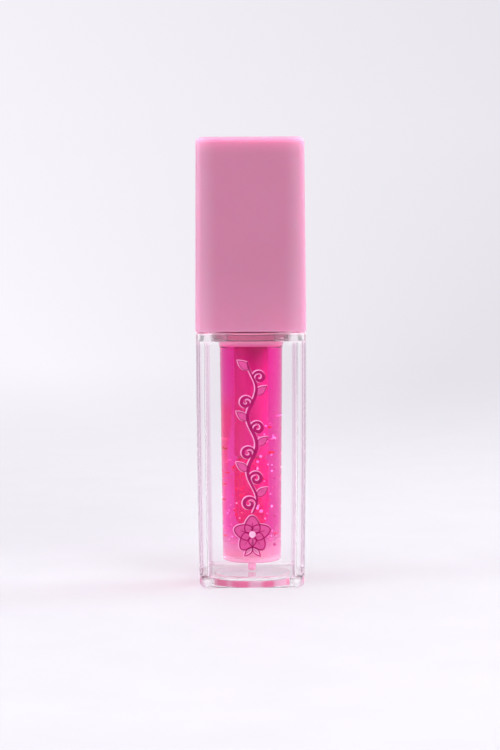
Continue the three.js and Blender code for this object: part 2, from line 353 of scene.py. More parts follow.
class Nodes:
    """Small helper that builds a material's node tree."""

    def __init__(self, name):
        self.start(bpy.data.materials.new(name), "ShaderNodeOutputMaterial")

    def start(self, owner, output):
        self.owner = owner
        owner.use_nodes = True
        self.tree = owner.node_tree
        self.tree.nodes.clear()
        self.output = self.add(output)

    def add(self, kind, **values):
        node = self.tree.nodes.new(kind)
        for key, value in values.items():
            setattr(node, key, value)
        return node

    def link(self, source, target):
        self.tree.links.new(source, target)

    def put(self, socket, value):
        """Link a socket's value, or set it to a plain one."""
        if isinstance(value, bpy.types.NodeSocket):
            self.link(value, socket)
        else:
            socket.default_value = value

    def principled(self, **inputs):
        node = self.add("ShaderNodeBsdfPrincipled")
        for key, value in inputs.items():
            self.put(node.inputs[key.replace("_", " ")], value)
        return node.outputs[0]

    def place(self):
        return self.add("ShaderNodeTexCoord").outputs["Object"]

    def axis(self, vector, letter):
        split = self.add("ShaderNodeSeparateXYZ")
        self.link(vector, split.inputs[0])
        return split.outputs[letter]

    def height(self):
        return self.axis(self.place(), "Z")

    def across(self):
        return self.axis(self.place(), "X")

    def radius(self):
        """Distance from the tube's axis."""
        flat = self.add("ShaderNodeVectorMath", operation="MULTIPLY")
        self.link(self.place(), flat.inputs[0])
        flat.inputs[1].default_value = (1, 1, 0)
        length = self.add("ShaderNodeVectorMath", operation="LENGTH")
        self.link(flat.outputs[0], length.inputs[0])
        return length.outputs["Value"]

    def combine(self, operation, *values):
        """One step of arithmetic on the values."""
        node = self.add("ShaderNodeMath", operation=operation)
        for socket, value in zip(node.inputs, values):
            self.put(socket, value)
        return node.outputs[0]

    def sides(self):
        """Smaller and larger distance from the tube's axis, across and along."""
        sizes = [self.combine("ABSOLUTE", self.axis(self.place(), letter)) for letter in "XY"]
        return self.combine("MINIMUM", *sizes), self.combine("MAXIMUM", *sizes)

    def corner(self, start, end):
        """0 on the sides of a square body, rising to 1 over this share of the way to its upright corners."""
        return self.range(self.combine("DIVIDE", *self.sides()), 0, 1, start, end, "SMOOTHSTEP")

    def noise(self, scale, detail=3, roughness=0.5, stretch=(1, 1, 1)):
        mapping = self.add("ShaderNodeMapping")
        mapping.inputs["Scale"].default_value = stretch
        self.link(self.place(), mapping.inputs["Vector"])
        node = self.add("ShaderNodeTexNoise")
        self.link(mapping.outputs[0], node.inputs["Vector"])
        node.inputs["Scale"].default_value = scale
        node.inputs["Detail"].default_value = detail
        node.inputs["Roughness"].default_value = roughness
        return node.outputs["Fac"]

    def ramp(self, factor, stops):
        node = self.add("ShaderNodeValToRGB")
        self.link(factor, node.inputs["Fac"])
        elements = node.color_ramp.elements
        while len(elements) < len(stops):
            elements.new(0.5)
        for element, (at, colour) in zip(elements, stops):
            element.position = at
            element.color = (*colour, 1)
        return node.outputs["Color"]

    def blend(self, factor, a, b):
        node = self.add("ShaderNodeMix", data_type="RGBA")
        self.put(node.inputs["Factor"], factor)
        self.put(node.inputs[6], a)
        self.put(node.inputs[7], b)
        return node.outputs[2]

    def bump(self, height, strength, distance):
        node = self.add("ShaderNodeBump")
        node.inputs["Strength"].default_value = strength
        node.inputs["Distance"].default_value = distance
        self.link(height, node.inputs["Height"])
        return node.outputs["Normal"]

    def range(self, value, low, high, start=0.0, end=1.0, kind="LINEAR"):
        """Map value from start..end to low..high."""
        node = self.add("ShaderNodeMapRange", interpolation_type=kind)
        self.link(value, node.inputs["Value"])
        for name, number in (("From Min", start), ("From Max", end), ("To Min", low), ("To Max", high)):
            node.inputs[name].default_value = number
        return node.outputs["Result"]

    def zone(self, distance, start, end, low=0.0, high=1.0, kind="SMOOTHSTEP"):
        """Map a distance from start..end, in millimetres, to low..high."""
        return self.range(distance, low, high, start * MM, end * MM, kind)

    def scaled(self, colour, *factors):
        for factor in factors:
            node = self.add("ShaderNodeVectorMath", operation="SCALE")
            self.link(colour, node.inputs[0])
            self.link(factor, node.inputs["Scale"])
            colour = node.outputs[0]
        return colour

    def mixed(self, factor, first, second):
        node = self.add("ShaderNodeMixShader")
        self.link(factor, node.inputs["Fac"])
        self.link(first, node.inputs[1])
        self.link(second, node.inputs[2])
        return node.outputs[0]

    def absorb(self, colour, density):
        """Let the inside take up light of the other colours with depth."""
        depth = self.add("ShaderNodeVolumeAbsorption")
        depth.inputs["Color"].default_value = colour
        depth.inputs["Density"].default_value = density
        self.link(depth.outputs[0], self.output.inputs["Volume"])

    def show(self, shader):
        self.link(shader, self.output.inputs["Surface"])
        return self.owner

    def show_with_light_through(self, shader, passed):
        """Show the shader, and let lamps' light through in the passed colour."""
        clear = self.add("ShaderNodeBsdfTransparent")
        self.put(clear.inputs["Color"], passed)
        path = self.add("ShaderNodeLightPath")
        return self.show(self.mixed(path.outputs["Is Shadow Ray"], shader, clear.outputs[0]))


def clear_tint(n, low, wall, edge, foot):
    """The wall's faint tint, a stronger one in the upright corners, which on the sleeve is a painted
    reflection of the pink gloss, and another low down in the middle.
    """
    beyond_recess = n.zone(n.radius(), RECESS_RADIUS - 0.1, RECESS_RADIUS + 0.1, kind="LINEAR")
    # Painted reflection: the upright corners take the edge colour
    upright = n.blend(n.corner(0.89, 0.94), (*wall, 1), (*edge, 1))
    return n.blend(low, upright, n.blend(beyond_recess, (*foot, 1), upright))


def clear_haze(n, low, foot_haze):
    """Milkiness of the foot and of the flange, which is strongest where they reach the corners."""
    flange = n.zone(n.height(), SLEEVE_TOP - 1.0, SLEEVE_TOP)
    ends = n.zone(n.radius(), BODY_WIDTH / 2 * 1.17, BODY_WIDTH / 2 * 1.25, 0, 0.3, "LINEAR")
    thick = n.combine("MULTIPLY", ends, n.combine("ADD", low, flange))
    plain = n.combine("ADD", n.range(low, 0, foot_haze), n.range(flange, 0, 0.05))
    return n.combine("ADD", thick, plain)


def painted_brim_glow(n):
    """Painted glow: pink emission along the flange's upper outer edge."""
    raised = n.zone(n.height(), FLANGE_TOP - 0.25, FLANGE_TOP - 0.15, kind="LINEAR")
    outside = n.zone(n.radius(), BODY_WIDTH / 2 - 0.6, BODY_WIDTH / 2 - 0.4, kind="LINEAR")
    return n.range(n.combine("MULTIPLY", raised, outside), 0, 0.32)


def clear_plastic(name, wall, edge, foot, foot_top, foot_haze, passed):
    """Moulded clear plastic with very slight waves; it is duller inside the vial and under the base, and has
    a painted glow along the flange's upper edge.
    """
    n = Nodes(name)
    low = n.zone(n.height(), foot_top - 0.8, foot_top, 1, 0)
    underside = n.zone(n.height(), 0.1, 0.3, 0.2, 0, "LINEAR")
    shine = n.zone(n.radius(), VIAL_BASE_RADIUS - 0.5, VIAL_BASE_RADIUS - 0.4, 0.05, 0.3, "LINEAR")
    shell = n.principled(
        Base_Color=clear_tint(n, low, wall, edge, foot),
        Roughness=n.combine("ADD", n.range(n.noise(300, 2), 0.0, 0.02), underside),
        IOR=1.5,
        Transmission_Weight=n.range(clear_haze(n, low, foot_haze), 1, 0),
        Specular_Tint=shine,
        Normal=n.bump(n.noise(40, 1), 0.02, 0.0003),
        # Emission: painted glow along the flange's upper edge
        Emission_Color=(*PAINTED_BRIM_GLOW_COLOUR, 1),
        Emission_Strength=painted_brim_glow(n),
    )
    return n.show_with_light_through(shell, (*passed, 1))


def gloss_streak(n):
    """Share of red pigment: soft streaks along the left side of the gloss, below its middle."""
    streak = n.ramp(n.noise(150, 2, 0.5, (1, 1, 0.3)), [(0.40, (0, 0, 0)), (0.50, (1, 1, 1))])
    beside = n.zone(n.across(), -3.4, -1.8, 1, 0)
    below = n.zone(n.height(), 32, 38, 1, 0)
    above = n.zone(n.height(), 9, 13)
    return n.scaled(streak, beside, below, above)


def gloss_liquid():
    """Pink gloss: milky and pale at its foot, deeper near the neck, lighter on the right."""
    n = Nodes("gloss_liquid")
    rise = n.zone(n.height(), 5, 47, kind="LINEAR")
    plain = n.ramp(rise, [
        (0.0, (1.0, 0.75, 0.90)),
        (0.05, (1.0, 0.58, 0.84)),
        (0.15, (0.99, 0.24, 0.70)),
        (0.5, (0.99, 0.22, 0.72)),
        (0.95, (0.98, 0.15, 0.64)),
        (0.98, (1.0, 0.45, 0.76)),
    ])
    lighter = n.zone(n.across(), 2.4, 4.2, 0, 0.5)
    sided = n.blend(lighter, plain, (1.0, 0.46, 0.74, 1))
    body = n.principled(
        Base_Color=n.blend(gloss_streak(n), sided, (*STREAK_COLOUR, 1)),
        Roughness=0.0,
        IOR=1.47,
        Transmission_Weight=n.range(rise, 0.6, 0.98, 0.02, 0.14, "SMOOTHSTEP"),
        Specular_Tint=(0.05, 0.05, 0.05, 1),
    )
    n.absorb((0.99, 0.06, 0.72, 1), 260)
    return n.show_with_light_through(body, (0.90, 0.45, 0.72, 1))


def glue():
    """Clear pink glue that takes up light with depth; its pink and its dark absorption are a painted
    reflection and painted shade in the flange.
    """
    n = Nodes("glue")
    body = n.principled(
        Base_Color=n.ramp(n.noise(500, 3), [(0.35, (0.94, 0.52, 0.70)), (0.65, (1.0, 0.66, 0.82))]),
        Roughness=0.02,
        IOR=1.5,
        Transmission_Weight=0.96,
        Specular_Tint=(0.1, 0.1, 0.1, 1),
    )
    # Dark brownish absorption: painted shade
    n.absorb((0.42, 0.12, 0.16, 1), 300)
    return n.show_with_light_through(body, (0.9, 0.6, 0.72, 1))


def cap_plastic():
    """Satin pink plastic with painted light: paler along its upright corners and towards its lower end, and
    lighter along its top edge.
    """
    n = Nodes("cap_plastic")
    fine = n.noise(2600, 2)
    half = CAP_TOP_WIDTH / 2
    tone = n.ramp(n.noise(70, 2), [(0.35, (0.555, 0.186, 0.304)), (0.65, (0.58, 0.197, 0.321))])
    # Painted light: the rounded upright corners turn paler
    painted_corner_light = n.zone(n.radius(), half * 1.17, half * 1.37, 0, 0.58)
    tone_with_painted_corners = n.blend(painted_corner_light, tone, (0.66, 0.36, 0.48, 1))
    # Painted light: paler towards the lower end
    pale = n.zone(n.height(), SHELL_LOW.z, SHELL_LOW.z + 14, 1.10, 1.0, "LINEAR")
    # Painted highlight: lighter along the top edge
    rim = n.zone(n.sides()[1], half - 2.5, half - 0.3, 0, 0.22)
    top = n.zone(n.height(), SHELL_HIGH.z - 3.0, SHELL_HIGH.z, kind="LINEAR")
    painted_top_edge_light = n.combine("MULTIPLY_ADD", rim, top, 1.0)
    shell = n.principled(
        Base_Color=n.scaled(tone_with_painted_corners, pale, painted_top_edge_light),
        Roughness=n.range(fine, 0.34, 0.46),
        IOR=1.5,
        Coat_Weight=0.15,
        Coat_Roughness=0.3,
        Normal=n.bump(fine, 0.10, 0.00006),
        Subsurface_Weight=0.9,
        Subsurface_Radius=(1.0, 0.5, 0.65),
        Subsurface_Scale=0.006,
        Sheen_Weight=0.15,
        Sheen_Roughness=0.25,
        Sheen_Tint=(1, 0.95, 0.98, 1),
    )
    return n.show(shell)


def satin_plastic(name, colour, roughness=0.45, through=0.3, shine=0.5, glow=0.0, painted_glow_top=0.0):
    """Satin plastic; below a given height it can glow, which is painted light: an emission in its own
    colour.
    """
    n = Nodes(name)
    fine = n.noise(1800, 2)
    tone = n.ramp(n.noise(140, 3), [(0.3, [c * 0.93 for c in colour]), (0.7, colour)])
    shell = n.principled(
        Base_Color=tone,
        Roughness=n.range(fine, roughness - 0.06, roughness + 0.08),
        IOR=1.5,
        Specular_IOR_Level=shine,
        Normal=n.bump(fine, 0.12, 0.00005),
        Subsurface_Weight=through,
        Subsurface_Radius=(1.0, 0.6, 0.7),
        Subsurface_Scale=0.001,
        Emission_Color=tone,
        # Emission: painted glow below the given height
        Emission_Strength=n.zone(n.height(), painted_glow_top - 0.5, painted_glow_top, glow, 0, "LINEAR"),
    )
    return n.show(shell)


def flock_fibre():
    """Short dense fibres, soaked with gloss."""
    n = Nodes("flock_fibre")
    shell = n.principled(
        Base_Color=n.ramp(n.noise(1500, 3), [(0.3, (0.87, 0.035, 0.38)), (0.7, (0.96, 0.06, 0.48))]),
        Roughness=0.7,
        Specular_IOR_Level=0.1,
        Normal=n.bump(n.noise(9000, 2), 0.4, 0.00008),
        Sheen_Weight=0.05,
        Sheen_Roughness=0.4,
        Sheen_Tint=(1, 0.1, 0.5, 1),
    )
    return n.show(shell)


def printed_ink(name, colour, roughness=0.35):
    """Screen-printed ink with a slightly uneven coat."""
    n = Nodes(name)
    grain = n.noise(6000, 2)
    shell = n.principled(
        Base_Color=n.ramp(n.noise(900, 3), [(0.35, [c * 0.85 for c in colour]), (0.65, colour)]),
        Roughness=n.range(grain, roughness - 0.08, roughness + 0.12),
        Specular_IOR_Level=0.25,
        Normal=n.bump(grain, 0.2, 0.00002),
    )
    return n.show(shell)


def pigment(name, dark, light, glow):
    """Pigment fleck in the liquid that glows in its own colour, as painted light; the pale ones are pale
    specks that also stand in for glints.
    """
    n = Nodes(name)
    tone = n.ramp(n.noise(700, 1), [(0.35, dark), (0.65, light)])
    fleck = n.principled(
        Base_Color=tone,
        Roughness=0.4,
        Specular_IOR_Level=0.1,
        Emission_Color=tone,
        # Emission: painted glow of the fleck
        Emission_Strength=glow,
    )
    return n.show(fleck)


def painted_reflection_ring_tint():
    """Painted reflection: blotchy pink on the outer face of the base ring, standing in for the pink gloss
    seen through the base, and grey on its inner face.
    """
    n = Nodes("base_ring_painted_reflection")
    # Painted reflection of the pink gloss
    tone = n.ramp(n.noise(260, 1), [(0.45, (1.0, 0.12, 0.36)), (0.60, (1.0, 0.46, 0.68))])
    outward = n.zone(n.radius(), RECESS_RADIUS - 0.1, RECESS_RADIUS - 0.05, kind="LINEAR")
    tinted = n.principled(
        Base_Color=n.blend(outward, (0.78, 0.72, 0.76, 1), tone),
        Roughness=0.3,
        Specular_IOR_Level=0.2,
        Transmission_Weight=0.2,
    )
    return n.show(tinted)


# --- Bottle ---

def make_sleeve():
    def outer(z):
        return body_width(z) / 2

    def inner(z):
        return body_width(z) / 2 - SLEEVE_WALL

    stations = [
        (0, RECESS_DEPTH, None, 0),
        (RECESS_RADIUS, RECESS_DEPTH, None, 0.3),
        (RECESS_RADIUS, 0, None, 0.2),
        (outer(0) - BASE_EDGE, 0, SLEEVE_CORNER * 0.8, 0),
    ]
    for angle in levels(0, math.pi / 2, EDGE_STEPS)[1:-1]:
        z = BASE_EDGE * (1 - math.cos(angle))
        stations.append((outer(0) - BASE_EDGE * (1 - math.sin(angle)), z, SLEEVE_CORNER * 0.9, 0))
    stations += [(outer(z), z, SLEEVE_CORNER, 0) for z in levels(BASE_EDGE, SLEEVE_TOP - 0.2, 12)]
    stations += [
        (outer(SLEEVE_TOP), SLEEVE_TOP, SLEEVE_CORNER, 0.1),
        (inner(SLEEVE_TOP), SLEEVE_TOP, CAVITY_CORNER, 0.1),
    ]
    stations += [(inner(z), z, CAVITY_CORNER, 0) for z in levels(SLEEVE_TOP - 0.3, SLEEVE_FLOOR + 1.0, 12)]
    stations += [
        (inner(SLEEVE_FLOOR), SLEEVE_FLOOR, CAVITY_CORNER, 0.7),
        (RECESS_RADIUS, SLEEVE_FLOOR, None, 0),
        (0, SLEEVE_FLOOR, None, 0),
    ]
    plastic = clear_plastic("sleeve_clear", **SLEEVE_PLASTIC)
    return dress(skin("sleeve", stations), plastic, "bottle", "clear_sleeve", "outer_sleeve")


def neck_swell(angle, z, radius):
    """Raise the bead at the neck's foot and the thread above it."""
    if radius < NECK_RADIUS - 0.01 or z < FLANGE_TOP + 0.3:
        return 0
    bead_share = max(0, 1 - abs(z - FLANGE_TOP - BEAD_HEIGHT) / BEAD_HALF)
    ridge = thread_height(angle, z, NECK_THREAD_START, NECK_CREST - NECK_RADIUS)
    return max(BEAD_DEPTH * min(1, bead_share * 1.8), ridge)


def make_vial():
    floor = VIAL_BOTTOM + VIAL_FLOOR
    edge = body_width(SLEEVE_TOP) / 2
    stations = [
        (0, VIAL_LOW.z, None, 0),
        (GATE_RADIUS, VIAL_LOW.z, None, 0.12),
        (GATE_RADIUS, VIAL_BOTTOM, None, 0.25),
        (VIAL_BASE_RADIUS, VIAL_BOTTOM, None, 0.3),
    ]
    stations += [(vial_radius(z), z, None, 0) for z in levels(VIAL_BOTTOM + 0.6, FLARE - 1.2, 8)]
    stations += [
        (vial_radius(FLARE), FLARE, None, 0.6),
        (GROOVE_INSIDE, SLEEVE_TOP, None, 0.2),
        (GROOVE_INSIDE, GROOVE_TOP, None, 0.1),
        (GROOVE_OUTSIDE, GROOVE_TOP, None, 0.1),
        (GROOVE_OUTSIDE, SLEEVE_TOP, None, 0.1),
        (edge, SLEEVE_TOP, SLEEVE_CORNER, 0.12),
        (BODY_WIDTH / 2, FLANGE_TOP, SLEEVE_CORNER, 0.2),
        (NECK_RADIUS, FLANGE_TOP, None, 0.2),
    ]
    stations += [(NECK_RADIUS, z, None, 0) for z in levels(FLANGE_TOP + 0.4, NECK_TOP - 1.2, 76)]
    stations += [
        (NECK_RADIUS, NECK_TOP - 0.4, None, 0.2),
        (NECK_RADIUS - 0.3, NECK_TOP, None, 0.1),
        (NECK_BORE, NECK_TOP, None, 0.1),
        (NECK_BORE, SLEEVE_TOP, None, 0.5),
        (vial_radius(FLARE) - VIAL_WALL, FLARE, None, 0.5),
        (VIAL_BORE, floor, None, 0.35),
        (0, floor, None, 0),
    ]

    plastic = clear_plastic("vial_clear", **VIAL_PLASTIC)
    return dress(skin("vial", stations, neck_swell), plastic, "bottle", "clear_vial", "inner_vial")


def make_gloss():
    """The gloss fills the vial, and a film of it stands between the neck and the wiper."""
    floor = VIAL_BOTTOM + VIAL_FLOOR - WET
    film_top = FLANGE_TOP + 1.5
    film_inside = WIPER_RADIUS - 0.1
    stations = [
        (0, floor, None, 0),
        (VIAL_BORE + WET, floor, None, 0.35),
        (vial_radius(FLARE) - VIAL_WALL + WET, FLARE, None, 0.5),
        (NECK_BORE + WET, SLEEVE_TOP, None, 0.5),
        (NECK_BORE + WET, film_top, None, 0),
        (film_inside, film_top, None, 0),
        (film_inside, WIPER_LOW.z + 0.5, None, 0.1),
        (WIPER_LIP - 0.15, WIPER_LOW.z + 0.05, None, 0.1),
        (0, WIPER_LOW.z + 0.05, None, 0),
    ]
    return dress(skin("gloss", stations), gloss_liquid(), "bottle", "gloss", "gloss_fill")


def scattered(seed, count, heights, angles, sizes):
    """Places and radii of specks near the wall of the vial; angle 0 faces the front and 90 the right."""
    gap, depth = 0.08, 0.7
    dice = random.Random(seed)
    for _ in range(count):
        z = dice.uniform(*heights)
        angle = math.radians(dice.uniform(*angles))
        size = mix(*sizes, dice.random() ** 2)
        reach = vial_radius(z) - VIAL_WALL - size - gap - dice.random() * depth
        yield Vector((reach * math.sin(angle), -reach * math.cos(angle), z)), size


def add_ball(mesh, centre, radius):
    """Add a small ball to the bmesh; the place and the size are in millimetres."""
    spot = Matrix.Translation(centre * MM)
    bmesh.ops.create_icosphere(mesh, subdivisions=2, radius=radius * MM, matrix=spot)


def make_fleck_group(name, material, clusters):
    """One mesh of specks; each cluster is a seed, a count, and ranges of heights, angles and sizes."""
    mesh = bmesh.new()
    for cluster in clusters:
        for centre, size in scattered(*cluster):
            add_ball(mesh, centre, size)
    dress(finished(name, mesh, 180), material, "bottle", "gloss")


def make_flecks():
    """Pale and dark pigment flecks that hang in the gloss; their glow is painted light, and the pale ones
    are painted glints.
    """
    # Pale flecks: painted glints that glow; dark flecks: crimson specks with a painted glow
    pale = pigment("fleck_pale_painted_glint", (1.0, 0.55, 0.80), (1.0, 0.90, 0.98), 0.6)
    dark = pigment("fleck_dark_painted_glow", (0.60, 0.0, 0.06), (0.85, 0.0, 0.16), 0.35)
    make_fleck_group("pale_flecks_painted_glints", pale, [
        (3, 26, (8, 31), (12, 65), (0.10, 0.34)),
        (5, 18, (7, 16), (-70, -20), (0.08, 0.20)),
        (6, 44, (7, 32), (95, 265), (0.08, 0.22)),
    ])
    make_fleck_group("dark_flecks", dark, [
        (17, 26, (13, 23), (-55, -18), (0.10, 0.30)),
        (19, 8, (7, 27), (20, 60), (0.08, 0.20)),
        (23, 30, (8, 30), (100, 260), (0.10, 0.28)),
    ])


def make_wiper():
    inner = WIPER_RADIUS - WIPER_WALL
    stations = [
        (ORIFICE_RADIUS, WIPER_LOW.z, None, 0.12),
        (WIPER_LIP, WIPER_LOW.z, None, 0.1),
        (WIPER_RADIUS, WIPER_LOW.z + 0.4, None, 0.15),
        (WIPER_RADIUS, NECK_TOP, None, 0.1),
        (WIPER_HIGH.x, NECK_TOP, None, 0.1),
        (WIPER_HIGH.x, WIPER_HIGH.z, None, 0.25),
        (inner, WIPER_HIGH.z, None, 0.25),
        (inner, WIPER_CONE_TOP, None, 0.5),
        (ORIFICE_RADIUS, WIPER_LOW.z + 0.6, None, 0.2),
    ]
    # The wiper's glow below the flange's top is painted light
    plastic = satin_plastic("wiper_plastic", (0.97, 0.40, 0.62), 0.35, 0.4, glow=0.45, painted_glow_top=FLANGE_TOP)
    return dress(skin("wiper_insert", stations), plastic, "bottle", "wiper", "wiper")


def make_hoop(name, inside, outside, low, high, rounding, *where):
    """Plain ring of rectangular section; where gives what dress needs after the mesh."""
    stations = [
        (inside, low, None, rounding),
        (outside, low, None, rounding),
        (outside, high, None, rounding),
        (inside, high, None, rounding),
    ]
    return dress(skin(name, stations), *where)


def make_glue_ring():
    """Glue that fills the groove under the vial's flange; it puts painted shade and a painted pink
    reflection into the flange.
    """
    inside, outside = GROOVE_INSIDE - WET, GROOVE_OUTSIDE + WET
    return make_hoop(
        "glue_ring", inside, outside, SLEEVE_TOP, GROOVE_TOP + WET, 0.1, glue(), "bottle", "clear_vial"
    )


def make_seal():
    stations = [
        (SEAL_BORE, SEAL_LOW.z, None, 0.12),
        (SEAL_HIGH.x, SEAL_LOW.z, None, 0.2),
        (SEAL_HIGH.x, SEAL_HIGH.z, None, 0.2),
        (SEAL_BORE, SEAL_HIGH.z, None, 0.12),
    ]
    foam = satin_plastic("seal_foam", (0.88, 0.85, 0.86), 0.75, 0.2)
    return dress(skin("seal_washer", stations), foam, "seal", "seal", "seal_ring")


def make_base_ring():
    """Thin ring against the wall of the recess under the base, coloured with a painted reflection of the
    pink gloss.
    """
    inside, outside = RECESS_RADIUS - 0.2, RECESS_RADIUS + 0.02
    low, high = 0.15, RECESS_DEPTH - 0.05
    return make_hoop("base_ring_painted_reflection", inside, outside, low, high, 0.05, painted_reflection_ring_tint(), "bottle", "print")


# --- Printed sprig ---

def on_face(across, z, lift):
    """Point over the front face of the sleeve."""
    return Vector((across, -body_width(z) / 2 - lift, z)) * MM


def stroke(mesh, line, half_width, lift):
    """Raised line through the points; half_width gives half its width at each share of its length."""
    last = len(line) - 1
    rows = []
    for i, here in enumerate(line):
        way = (line[min(i + 1, last)] - line[max(i - 1, 0)]).normalized()
        side = Vector((-way.y, way.x)) * half_width(i / last)
        row = []
        for reach, height in ((1, -INK_SINK), (0.8, lift), (-0.8, lift), (-1, -INK_SINK)):
            row.append(mesh.verts.new(on_face(*(here + side * reach), height)))
        rows.append(row)
    for low, high in zip(rows, rows[1:]):
        for i in range(4):
            mesh.faces.new((low[i], low[i - 1], high[i - 1], high[i]))
    mesh.faces.new(rows[0])
    mesh.faces.new(rows[-1])


def patch(mesh, outline, lift):
    """Raised area inside the outline."""
    foot = [mesh.verts.new(on_face(*point, -INK_SINK)) for point in outline]
    head = [mesh.verts.new(on_face(*point, lift)) for point in outline]
    for i in range(len(outline)):
        mesh.faces.new((foot[i], foot[i - 1], head[i - 1], head[i]))
    mesh.faces.new(foot)
    mesh.faces.new(head)


def heading(direction):
    """Unit vector along the direction, and the one to its left."""
    way = Vector((math.cos(direction), math.sin(direction)))
    return way, Vector((-way.y, way.x))


def stem_point(share):
    z = mix(SPRIG_LOW, SPRIG_HIGH, share)
    return Vector((0.15 + 0.85 * math.sin(share * SPRIG_WAVES * 2 * math.pi), z))


def tendril(start, side, size):
    """Curl that leaves the stem upwards and winds in on the given side."""
    centre = start + Vector((side * size, 0))
    points = []
    for share in levels(0, 1, 30):
        angle = math.pi * (side > 0) - side * share * 2.5 * math.pi
        points.append(centre + Vector((math.cos(angle), math.sin(angle))) * size * (1 - 0.75 * share))
    return points


def leaf_outline(base, direction, length, width):
    """Pointed oval from the base along the direction."""
    way, side = heading(direction)
    edge = levels(0, 1, 10)
    bulge = [width / 2 * math.sin(math.pi * share ** 0.8) for share in edge]
    left = [base + way * length * share + side * out for share, out in zip(edge, bulge)]
    right = [base + way * length * share - side * out for share, out in zip(edge, bulge)]
    return left + right[-2:0:-1]


def petal_outline(centre, direction, length, width):
    """Egg shape from the centre along the direction, wider away from the centre."""
    way, side = heading(direction)
    points = []
    for angle in levels(0, 2 * math.pi, 22)[:-1]:
        narrow = 1 - 0.35 * math.cos(angle)
        along = length * (0.5 - 0.5 * math.cos(angle))
        points.append(centre + way * along + side * width / 2 * math.sin(angle) / narrow)
    return points


def disc_outline(centre, radius, count):
    return [centre + heading(angle)[0] * radius for angle in levels(0, 2 * math.pi, count)[:-1]]


def closed(outline):
    return outline + outline[:1]


def swelling(middle, end):
    """Half width of a pen line that is thickest in the middle of its length."""
    return lambda share: mix(end, middle, math.sin(math.pi * share) ** 0.7)


def even(half):
    return lambda share: half


def draw_sprig(lines, fills):
    """Add the stem, with a tendril and a leaf on alternating sides."""
    lines.append(([stem_point(share) for share in levels(0, 1, 90)], swelling(0.36, 0.14)))
    for i in range(TENDRILS):
        share = (i + 0.5) / TENDRILS - 0.02
        side = 1 if i % 2 else -1
        lines.append((tendril(stem_point(share), side, 1.36 - 0.04 * i), swelling(0.36, 0.12)))
        up = math.pi / 2 + side * math.radians(52)
        leaf = leaf_outline(stem_point(share + 0.05), up, 2.7, 1.35)
        fills.append(leaf)
        lines.append((closed(leaf), even(0.09)))


def draw_blossom(lines, fills):
    """Add the petals with their ribs, and two sepals under them."""
    for i in range(PETALS):
        petal = petal_outline(BLOSSOM_CENTRE, math.pi / 2 + i * 2 * math.pi / PETALS, 3.5, 2.75)
        tip = petal[len(petal) // 2]
        fills.append(petal)
        lines.append((closed(petal), even(0.14)))
        rib = [BLOSSOM_CENTRE + (tip - BLOSSOM_CENTRE) * share for share in levels(0.25, 0.7, 8)]
        lines.append((rib, swelling(0.09, 0.02)))
    for side in (-1, 1):
        foot = BLOSSOM_CENTRE + Vector((0, -2.4))
        sepal = leaf_outline(foot, -math.pi / 2 + side * 0.7, 2.3, 1.0)
        lines.append((closed(sepal), even(0.12)))


def draw_dots(fills):
    """Add a row of dots beside the sprig, with every third one larger."""
    for i in range(DOTS):
        centre = Vector((DOTS_ACROSS, mix(DOTS_LOW, DOTS_HIGH, i / (DOTS - 1))))
        fills.append(disc_outline(centre, 0.16 if i % 3 else 0.26, 16))


def make_print():
    """Sprig of tendrils and leaves over a five-petalled blossom, with a row of dots beside it."""
    lines, fills = [], []
    draw_sprig(lines, fills)
    draw_blossom(lines, fills)
    draw_dots(fills)
    halo, ink, fill, eye = (bmesh.new() for _ in range(4))
    for line, half_width in lines:
        stroke(ink, line, half_width, INK_LIFT)
        shifted = [point + HALO_SHIFT for point in line]
        stroke(halo, shifted, lambda share: half_width(share) + HALO_MARGIN, HALO_LIFT)
    for outline in fills:
        patch(fill, outline, FILL_LIFT)
    patch(eye, disc_outline(BLOSSOM_CENTRE, EYE_RADIUS, 24), EYE_LIFT)
    for name, mesh, ink_name, colour in (
        ("print_halo", halo, "ink_pale", (0.90, 0.33, 0.62)),
        ("print_lines", ink, "ink_dark", (0.42, 0.0, 0.12)),
        ("print_fill", fill, "ink_rose", (0.68, 0.075, 0.29)),
        ("print_eye", eye, "ink_light", (0.95, 0.50, 0.72)),
    ):
        dress(finished(name, mesh), printed_ink(ink_name, colour), "bottle", "print")


# --- Cap and applicator ---

def make_cap_shell():
    low, high = SHELL_LOW.z, SHELL_HIGH.z
    ceiling = high - CAP_WALL

    def outer(z):
        return cap_width(z) / 2

    stations = [
        (0, ceiling, None, 0),
        (outer(high) * 0.5, ceiling, None, 0),
        (outer(ceiling) - CAP_WALL, ceiling, CAVITY_CORNER, 0.4),
        (outer(low + 1) - CAP_WALL, low + 1, CAVITY_CORNER, 0),
        (outer(low) - CAP_WALL, low, CAVITY_CORNER, 0.12),
        (outer(low), low, CAP_CORNER, 0.22),
    ]
    stations += [(outer(z), z, CAP_CORNER, 0) for z in levels(low + 1, high - CAP_EDGE, 10)]
    for angle in levels(0, math.pi / 2, EDGE_STEPS)[1:-1]:
        z = high - CAP_EDGE * (1 - math.sin(angle))
        stations.append((outer(high) - CAP_EDGE * (1 - math.cos(angle)), z, CAP_CORNER * 0.9, 0))
    stations += [
        (outer(high) - CAP_EDGE, high, CAP_CORNER * 0.6, 0),
        (outer(high) * 0.5, high, None, 0),
        (0, high, None, 0),
    ]
    return dress(skin("cap", stations), cap_plastic(), "cap", "cap", "cap_shell")


